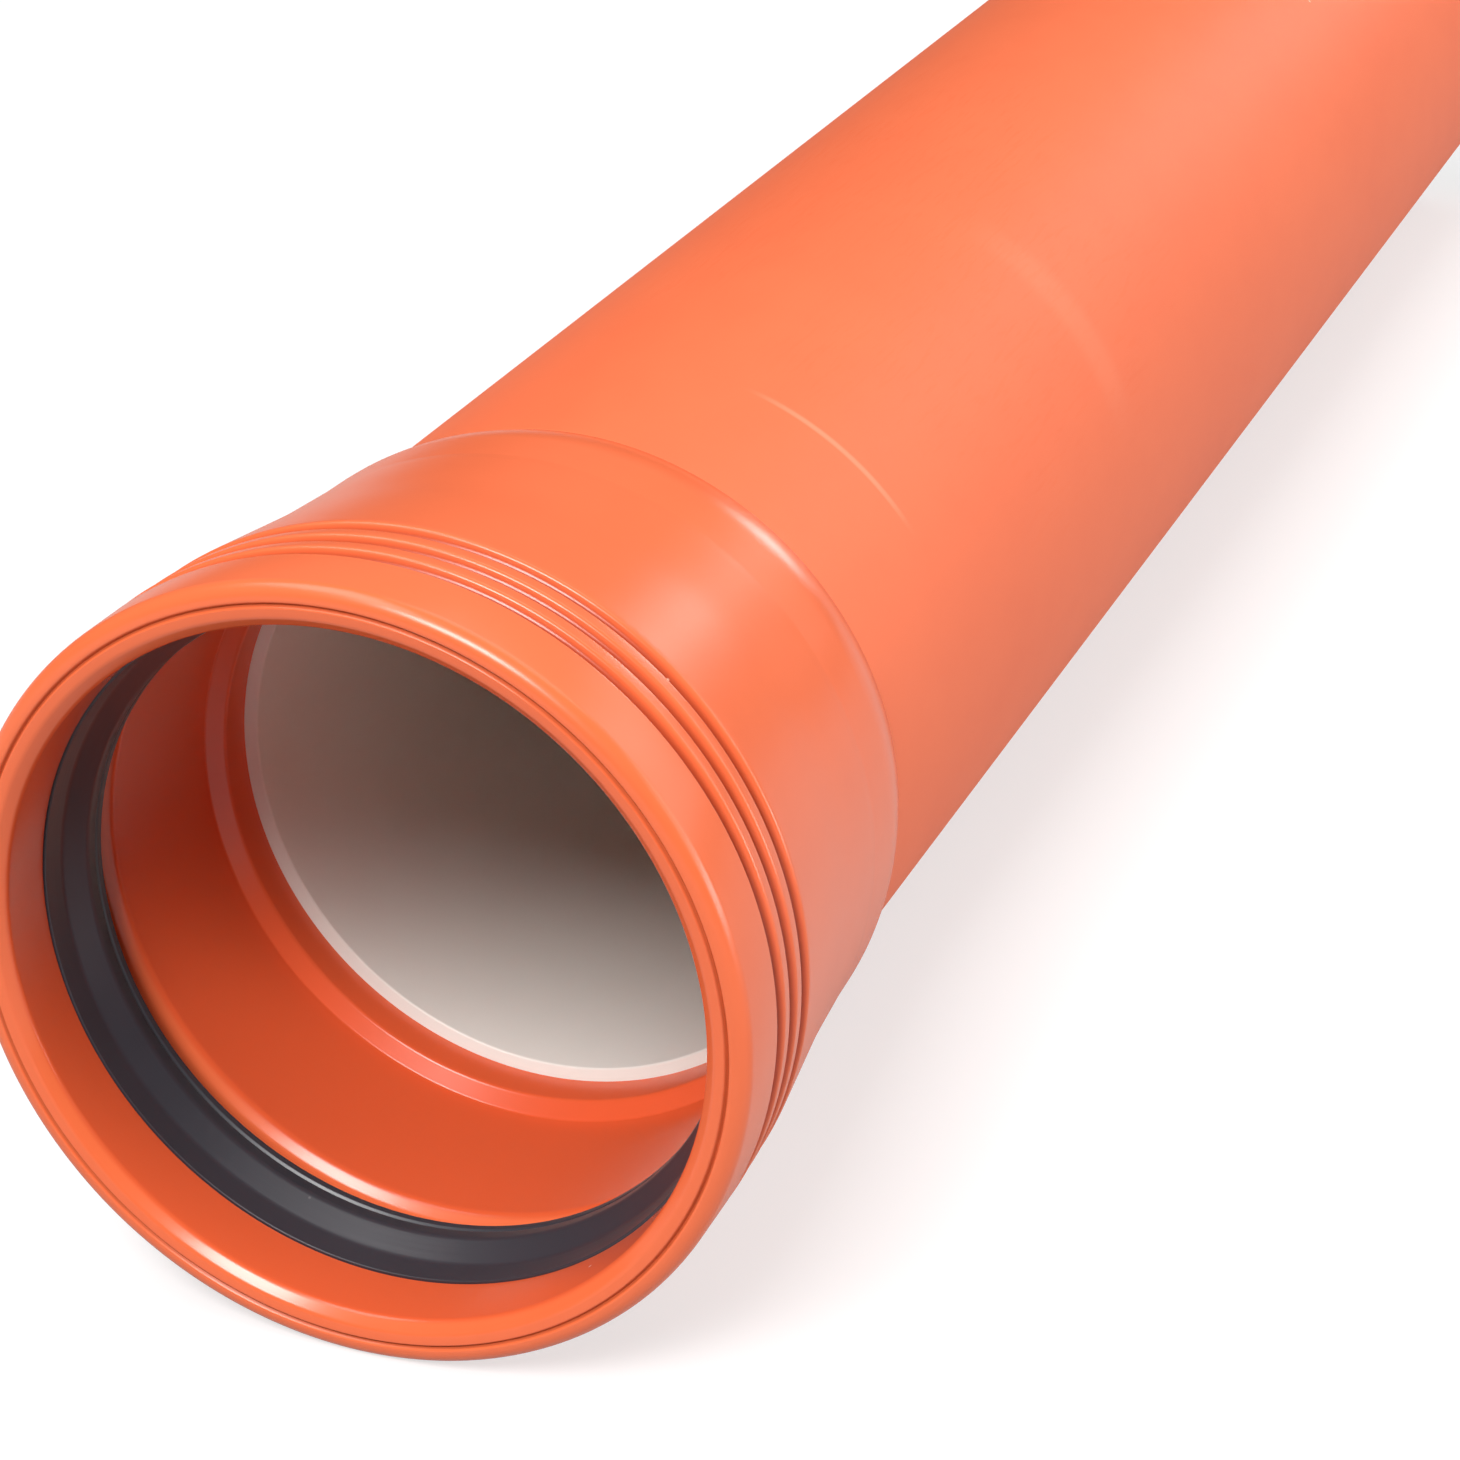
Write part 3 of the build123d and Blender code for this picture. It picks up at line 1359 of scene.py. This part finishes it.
    def lining_finish(self) -> Finish:
        """Pale drawn plastic of the inner layer.

        Returns:
            The layer's finish.
        """
        return Finish(
            Slot.PALE_LAYER, self.cream, self.deep_cream, self.cream_speck,
            roughness=0.42, rubbed=0.10, mottle=0.4, density=0.004,
            grain=Grain.ALONG, grain_height=0.05 * MM,
        )

    def rubber_finish(self) -> Finish:
        """Dark grey rubber with a dull sheen.

        Returns:
            The seal's finish.
        """
        return Finish(
            Slot.SEAL_RUBBER, self.rubber_grey, self.deep_rubber_grey, self.rubber_speck,
            roughness=0.37, rubbed=0.10, mottle=0.6, density=0.012,
            grain=Grain.AROUND, grain_height=0.05 * MM, specular=0.6,
        )


@dataclass(frozen=True)
class Lamp:
    """A soft lamp of the studio.

    Attributes:
        name: the lamp's name.
        azimuth: degrees from +X towards +Y, seen from the pipe's mouth.
        elevation: degrees above the floor, seen from the pipe's mouth.
        distance: how far away it hangs.
        width: width of its face.
        height: height of its face.
        power: its power in watts.
    """

    name: str
    azimuth: float
    elevation: float
    distance: float
    width: float
    height: float
    power: float

    def hang(self, target: Vector) -> bpy.types.Object:
        """Hang the lamp so that it faces a point.

        Args:
            target: the point that it lights.

        Returns:
            The lamp's object.
        """
        data = bpy.data.lights.new(self.name, "AREA")
        data.shape = "RECTANGLE"
        data.size = self.width
        data.size_y = self.height
        data.energy = self.power
        lamp = bpy.data.objects.new(self.name, data)
        bpy.context.scene.collection.objects.link(lamp)
        around = math.radians(self.azimuth)
        above = math.radians(self.elevation)
        flat = math.cos(above)
        towards = Vector((flat * math.cos(around), flat * math.sin(around), math.sin(above)))
        lamp.location = target + towards * self.distance
        lamp.rotation_euler = (-towards).to_track_quat("-Z", "Y").to_euler()
        return lamp


@dataclass
class Studio:
    """White floor and surroundings, soft lamps and the camera at the photograph's viewing angle.

    Attributes:
        sizes: places and radii of the pipe.
        floor_size: side of the square floor.
        floor_gap: space between the collar and the floor.
        floor_colour: the floor's own colour, which carries the shadow.
        floor_lift: glow for the camera near the pipe.
        shadow_reach: distance from the mouth up to which the glow keeps that level.
        white_reach: distance from the mouth at which the glow alone is white.
        mirrored_lift: glow of the floor in reflections.
        mirrored_sky: glow of the surroundings in reflections.
        sky_light: even light from all round.
        camera_place: where the camera stands.
        camera_azimuth: degrees that the camera is turned from the pipe's axis.
        camera_elevation: degrees that the camera looks down.
        camera_lens: the camera's focal length in millimetres.
        lamps: the soft lamps.
    """

    sizes: PipeSizes
    floor_size: float = 16.0
    floor_gap: float = 0.2 * MM
    floor_colour: Colour = (0.38, 0.38, 0.38)
    floor_lift: float = 0.65
    shadow_reach: float = 1.2
    white_reach: float = 3.0
    mirrored_lift: float = 0.24
    mirrored_sky: float = 0.05
    sky_light: float = 0.01
    camera_place: tuple[float, float, float] = (0.41540, -0.90635, 0.49058)
    camera_azimuth: float = 21.140
    camera_elevation: float = 25.053
    camera_lens: float = 95.743
    lamps: tuple[Lamp, ...] = (
        Lamp("key_softbox", -88.0, 47.0, 4.0, 1.6, 1.4, 160.0),
        Lamp("key_high", -92.0, 60.0, 4.0, 2.4, 1.6, 15.0),
        Lamp("left_high", -160.0, 66.0, 4.0, 2.6, 2.0, 62.0),
        Lamp("side_panel", 14.0, 20.0, 4.0, 2.6, 2.2, 27.0),
        Lamp("side_low", 14.0, 6.0, 4.0, 3.0, 0.8, 46.0),
        Lamp("side_back", 46.0, 22.0, 4.0, 2.6, 2.0, 22.0),
        Lamp("back_top", 70.0, 56.0, 4.0, 3.2, 2.0, 30.0),
        Lamp("back_panel", 100.0, 30.0, 4.0, 6.0, 2.0, 6.0),
        Lamp("back_spot", 66.0, 24.0, 1.3, 0.40, 0.24, 0.24),
        Lamp("back_low", 84.0, 9.0, 4.0, 0.6, 0.8, 8.0),
    )

    def build(self) -> None:
        """Set up the whole studio."""
        self.lay_floor()
        self.paint_sky()
        for lamp in self.lamps:
            lamp.hang(Vector((0.0, self.sizes.mouth, 0.0)))
        self.place_camera()
        bpy.context.scene.view_settings.view_transform = "Standard"

    def lay_floor(self) -> None:
        """Lay the floor so that both the collar and the spigot end rest on it."""
        size = self.sizes
        drop = size.collar_radius - size.pipe_radius
        run = size.spigot_end - size.mouth
        bpy.ops.object.select_all(action="DESELECT")
        bpy.ops.mesh.primitive_plane_add(size=self.floor_size, location=(0.0, 0.0, 0.0))
        floor = bpy.context.active_object
        floor.name = "studio_floor"
        floor.rotation_euler = (math.atan2(drop, run), 0.0, 0.0)
        floor.location = (0.0, size.mouth, -size.collar_radius - self.floor_gap)
        floor.data.materials.append(self.floor_material())

    def floor_material(self) -> bpy.types.Material:
        """White floor that keeps the shadow: a little glow for the camera lifts it to white.

        Returns:
            The floor's material.
        """
        made = bpy.data.materials.new("studio_floor")
        made.use_nodes = True
        graph = Graph(made.node_tree)
        matt = graph.node("ShaderNodeBsdfDiffuse")
        matt.inputs["Color"].default_value = (*self.floor_colour, 1.0)
        away = graph.distance((1.0, 1.0, 1.0))
        lift = graph.ramp(away, self.shadow_reach, self.white_reach, self.floor_lift, 1.0)
        glow = graph.node("ShaderNodeEmission")
        graph.link(graph.seen_glow(lift, self.mirrored_lift), glow.inputs["Strength"])
        both = graph.node("ShaderNodeAddShader")
        graph.link(matt.outputs["BSDF"], both.inputs[0])
        graph.link(glow.outputs["Emission"], both.inputs[1])
        output = graph.node("ShaderNodeOutputMaterial")
        graph.link(both.outputs["Shader"], output.inputs["Surface"])
        return made

    def paint_sky(self) -> None:
        """Faint even light from all round, behind which the camera sees white."""
        world = bpy.data.worlds.new("studio_sky")
        world.use_nodes = True
        graph = Graph(world.node_tree)
        sky = graph.node("ShaderNodeBackground")
        sky.inputs["Color"].default_value = (1.0, 1.0, 1.0, 1.0)
        seen = graph.seen_glow(1.0, self.mirrored_sky)
        graph.link(graph.math("MAXIMUM", seen, self.sky_light), sky.inputs["Strength"])
        output = graph.node("ShaderNodeOutputWorld")
        graph.link(sky.outputs["Background"], output.inputs["Surface"])
        bpy.context.scene.world = world

    def place_camera(self) -> None:
        """Place the camera as the photograph's was."""
        data = bpy.data.cameras.new("photo_camera")
        data.lens = self.camera_lens
        camera = bpy.data.objects.new("photo_camera", data)
        bpy.context.scene.collection.objects.link(camera)
        camera.location = self.camera_place
        camera.rotation_euler = (
            math.radians(90.0 - self.camera_elevation),
            0.0,
            math.radians(self.camera_azimuth),
        )
        bpy.context.scene.camera = camera


def main() -> None:
    """Build the pipe's pieces in order, then the studio."""
    logging.basicConfig(level=logging.INFO, format="%(name)s: %(message)s")
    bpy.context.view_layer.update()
    sizes = PipeSizes.read(frame["record"])
    moulding = SocketMoulding(sizes)
    finishes = Finishes(sizes, moulding)
    lathe = Lathe()
    BarrelWall(sizes).build(lathe, finishes.barrel)
    BarrelLining(sizes).build(lathe, finishes.lining)
    moulding.build(lathe, finishes.moulding)
    MouthRing(sizes, moulding).build(lathe, finishes.ring)
    LipSeal(sizes).build(lathe, finishes.rubber)
    Studio(sizes).build()


if __name__ == "__main__":
    main()
